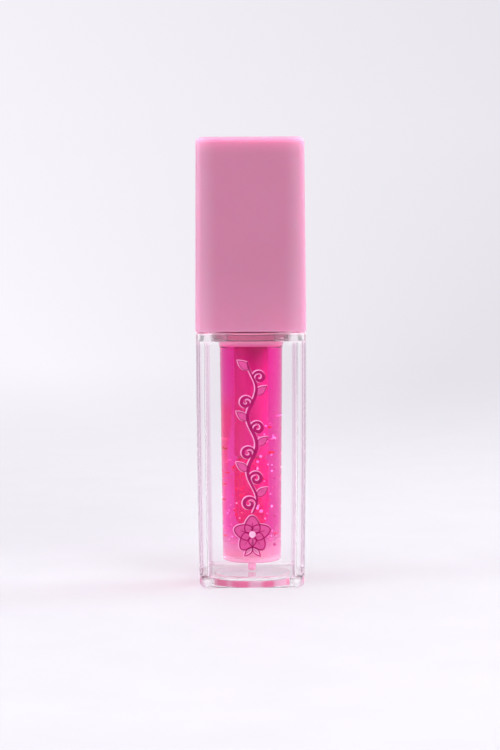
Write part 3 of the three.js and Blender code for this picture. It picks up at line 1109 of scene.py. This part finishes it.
def add_rib(mesh, start, reach, low, high, angle):
    """Add a bevelled upright plate from start out to reach, turned about the cap's axis."""
    size = Vector((reach - start, RIB_WIDTH, high - low)) * MM
    middle = Vector(((start + reach) / 2, 0, (low + high) / 2)) * MM
    plate = bmesh.new()
    bmesh.ops.create_cube(plate, size=1)
    bmesh.ops.scale(plate, vec=size, verts=plate.verts)
    bmesh.ops.bevel(plate, geom=plate.edges[:], offset=RIB_BEVEL * MM, segments=2, affect="EDGES")
    bmesh.ops.translate(plate, vec=middle, verts=plate.verts)
    bmesh.ops.rotate(plate, cent=(0, 0, 0), matrix=Matrix.Rotation(angle, 3, "Z"), verts=plate.verts)
    data = bpy.data.meshes.new("rib")
    plate.to_mesh(data)
    plate.free()
    mesh.from_mesh(data)
    bpy.data.meshes.remove(data)


def make_liner():
    """Round liner with the thread inside, and the socket above it that holds the rod's head."""
    ceiling = SEAL_HIGH.z + 0.1
    disc_top = ceiling + LINER_DISC
    low = LINER_LOW.z
    stations = [
        (ROD_RADIUS + 0.15, disc_top, None, 0.05),
        (ROD_RADIUS + 0.15, ceiling, None, 0.1),
        (LINER_ROOT, ceiling, None, 0.3),
    ]
    stations += [(LINER_ROOT, z, None, 0) for z in levels(ceiling - 0.8, low + 0.5, 90)]
    stations += [
        (LINER_ROOT, low, None, 0.2),
        (LINER_RADIUS, low, None, 0.25),
        (LINER_RADIUS, disc_top, None, 0.3),
        (SOCKET_RADIUS, disc_top, None, 0.3),
        (SOCKET_RADIUS, disc_top + SOCKET_HEIGHT, None, 0.15),
        (SOCKET_BORE, disc_top + SOCKET_HEIGHT, None, 0.15),
        (SOCKET_BORE, disc_top, None, 0.1),
    ]

    def swell(angle, z, radius):
        if abs(radius - LINER_ROOT) > 0.01 or z > ceiling - 0.5:
            return 0
        return -thread_height(angle, z, LINER_THREAD_START, LINER_ROOT - LINER_CREST)

    plastic = satin_plastic("liner_plastic", (0.80, 0.47, 0.60), 0.4)
    dress(skin("liner", stations, swell), plastic, "cap", "cap_liner", "cap_liner")
    make_ribs(plastic, low, disc_top)


def make_ribs(plastic, low, high):
    """Ribs that hold the round liner in the square shell: one to each side and one to each corner."""
    ribs = bmesh.new()
    face = cap_width(high) / 2 - CAP_WALL - RIB_GAP
    for i in range(RIBS):
        reach = face * math.sqrt(2) - RIB_WIDTH if i % 2 else face
        add_rib(ribs, LINER_RADIUS - 0.05, reach, low + RIB_INSET, high - RIB_INSET, i * 2 * math.pi / RIBS)
    dress(finished("liner_ribs", ribs), plastic, "cap", "cap_liner")


def make_rod():
    head_low = ROD_HIGH.z - ROD_HEAD_HEIGHT
    bore = CORE_RADIUS + CORE_PLAY
    socket_top = CORE_HIGH.z + 0.2
    stations = [
        (0, socket_top, None, 0),
        (bore, socket_top, None, 0.1),
        (bore, ROD_LOW.z, None, 0.1),
        (ROD_RADIUS, ROD_LOW.z, None, 0.35),
    ]
    stations += [(ROD_RADIUS, z, None, 0) for z in levels(ROD_LOW.z + 2, head_low - 2, 8)]
    stations += [
        (ROD_RADIUS, head_low, None, 0.1),
        (ROD_HIGH.x, head_low, None, 0.15),
        (ROD_HIGH.x, ROD_HIGH.z, None, 0.3),
        (0, ROD_HIGH.z, None, 0),
    ]
    plastic = satin_plastic("rod_plastic", (0.80, 0.20, 0.52), 0.25, 0.5, shine=0.2)
    return dress(skin("rod", stations), plastic, "cap", "rod", "applicator_rod")


def make_core():
    low, high = CORE_LOW.z, CORE_HIGH.z
    stations = [
        (0, low, None, 0),
        (CORE_RADIUS - 0.35, low, None, 0.15),
        (CORE_RADIUS, low + 0.6, None, 0.2),
    ]
    for z in levels(high - 3.2, high - 1.2, 2):
        stations += [
            (CORE_RADIUS - 0.15, z - 0.1, None, 0),
            (CORE_RADIUS, z + 0.1, None, 0.05),
            (CORE_RADIUS - 0.15, z + 0.6, None, 0),
        ]
    stations += [(CORE_RADIUS, high, None, 0.2), (0, high, None, 0)]
    soft = satin_plastic("core_soft", (0.86, 0.74, 0.79), 0.55)
    return dress(skin("core", stations), soft, "cap", "tip_core", "tip_core")


def make_flock():
    """Flocked tip: a round sleeve on the core, cut to a slanted face in front, with a fuzzy skin."""
    low, high = FLOCK_LOW.z, FLOCK_HIGH.z
    radius = FLOCK_HIGH.x
    bore = CORE_RADIUS + CORE_PLAY
    stations = [
        (0, low, None, 0),
        (0.9, low + 0.15, None, 0.3),
        (1.6, low + 0.6, None, 0.4),
        (2.05, low + 1.4, None, 0.5),
        (radius, low + 2.6, None, 0.8),
    ]
    stations += [(radius, z, None, 0) for z in levels(low + 3.4, high - 1.2, 40)]
    stations += [
        (radius - 0.5, high, None, 0.4),
        (bore, high, None, 0.05),
        (bore, CORE_LOW.z - 0.1, None, 0),
        (0, CORE_LOW.z - 0.1, None, 0),
    ]
    tip = skin("flock", stations)
    for vert in tip.data.vertices:
        place = vert.co / MM
        in_bore = Vector((place.x, place.y)).length < bore + 0.2 and place.z > CORE_LOW.z - 0.2
        if in_bore:
            continue
        face = -radius + max(0, low + SLANT_HEIGHT - place.z) * math.tan(SLANT)
        if place.y < face:
            vert.co.y = face * MM
        shrink = 1 - abs(noise.noise(vert.co * FUZZ_SCALE)) * FUZZ_DEPTH
        vert.co.x *= shrink
        vert.co.y *= shrink
    return dress(tip, flock_fibre(), "cap", "flock", "tip_flock")


# --- Studio ---

def studio_tone(n, direction):
    """Soft lavender white of the studio in this direction, with a darker card behind the photographer."""
    tone = n.ramp(n.range(n.axis(direction, "Y"), 0, 1, -1, 1), [
        (0.0, (0.80, 0.78, 0.83)),
        (0.35, (0.78, 0.755, 0.81)),
        (0.65, (0.82, 0.79, 0.86)),
        (1.0, (0.88, 0.855, 0.915)),
    ])
    side = n.range(n.axis(direction, "X"), 1.09, 0.90, -0.17, 0.17)
    card = n.range(n.axis(direction, "Y"), 0.3, 1, -0.985, -0.92, "SMOOTHSTEP")
    high = n.range(n.axis(direction, "Z"), 1, 0.95, 0.0, 0.12)
    return n.scaled(tone, side, card, high)


def pale_floor():
    """Pale floor that passes into the studio's own tone far from the tube."""
    n = Nodes("pale_floor")
    away = n.add("ShaderNodeVectorMath", operation="LENGTH")
    n.link(n.place(), away.inputs[0])
    far = n.range(away.outputs["Value"], 0, 1, 0.10, 0.45, "SMOOTHSTEP")
    direction = n.add("ShaderNodeVectorMath", operation="NORMALIZE")
    n.link(n.place(), direction.inputs[0])
    grain = n.ramp(n.noise(60, 3), [(0.3, (0.57, 0.568, 0.585)), (0.7, (0.585, 0.583, 0.60))])
    near = n.principled(Base_Color=grain, Roughness=0.6, Specular_IOR_Level=0.1)
    glow = n.add("ShaderNodeEmission")
    n.link(studio_tone(n, direction.outputs[0]), glow.inputs["Color"])
    return n.show(n.mixed(far, near, glow.outputs[0]))


def make_stage():
    disc = bmesh.new()
    bmesh.ops.create_circle(disc, cap_ends=True, segments=96, radius=FLOOR_RADIUS)
    bmesh.ops.translate(disc, vec=(0, 0, -FLOOR_GAP * MM), verts=disc.verts)
    floor = finished("floor", disc)
    floor.data.materials.append(pale_floor())
    floor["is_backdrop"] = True


def area_light(name, place, size, power, colour):
    light = bpy.data.lights.new(name, "AREA")
    light.shape = "RECTANGLE"
    light.size, light.size_y = size
    light.energy = power
    light.color = colour
    lamp = bpy.data.objects.new(name, light)
    bpy.context.scene.collection.objects.link(lamp)
    lamp.location = place
    way = Vector(LAMP_TARGET) - Vector(place)
    lamp.rotation_euler = way.to_track_quat("-Z", "Y").to_euler()


class WorldNodes(Nodes):
    """The same helper for the studio's surroundings."""

    def __init__(self, world):
        self.start(world, "ShaderNodeOutputWorld")


def make_lights():
    for lamp in LAMPS:
        area_light(*lamp)
    world = bpy.data.worlds.new("studio")
    bpy.context.scene.world = world
    n = WorldNodes(world)
    background = n.add("ShaderNodeBackground")
    n.link(studio_tone(n, n.add("ShaderNodeTexCoord").outputs["Generated"]), background.inputs["Color"])
    n.show(background.outputs[0])


def make_camera():
    data = bpy.data.cameras.new("camera")
    data.lens = CAMERA_LENS
    data.sensor_width = CAMERA_SENSOR
    data.clip_start = 0.01
    camera = bpy.data.objects.new("camera", data)
    bpy.context.scene.collection.objects.link(camera)
    camera.location = CAMERA_PLACE
    camera.rotation_mode = "QUATERNION"
    tilt = Matrix.Rotation(math.radians(CAMERA_TILT), 4, "X")
    roll = Matrix.Rotation(math.radians(CAMERA_ROLL), 4, "Z")
    camera.rotation_quaternion = (tilt @ roll).to_quaternion()
    bpy.context.scene.camera = camera


def set_rendering():
    scene = bpy.context.scene
    scene.view_settings.view_transform = "Standard"
    scene.cycles.max_bounces = 32
    scene.cycles.transmission_bounces = 28
    scene.cycles.transparent_max_bounces = 32
    scene.cycles.glossy_bounces = 8
    scene.cycles.diffuse_bounces = 4
    scene.cycles.caustics_reflective = False
    scene.cycles.use_denoising = True


make_camera()
make_stage()
make_lights()
set_rendering()
make_sleeve()
make_vial()
make_gloss()
make_flecks()
make_wiper()
make_glue_ring()
make_seal()
make_base_ring()
make_print()
make_cap_shell()
make_liner()
make_rod()
make_core()
make_flock()

bpy.context.view_layer.update()
sizes = {"cad": cad_box, "visual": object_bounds()}
{key: [list(corner) for corner in box] for key, box in sizes.items()}
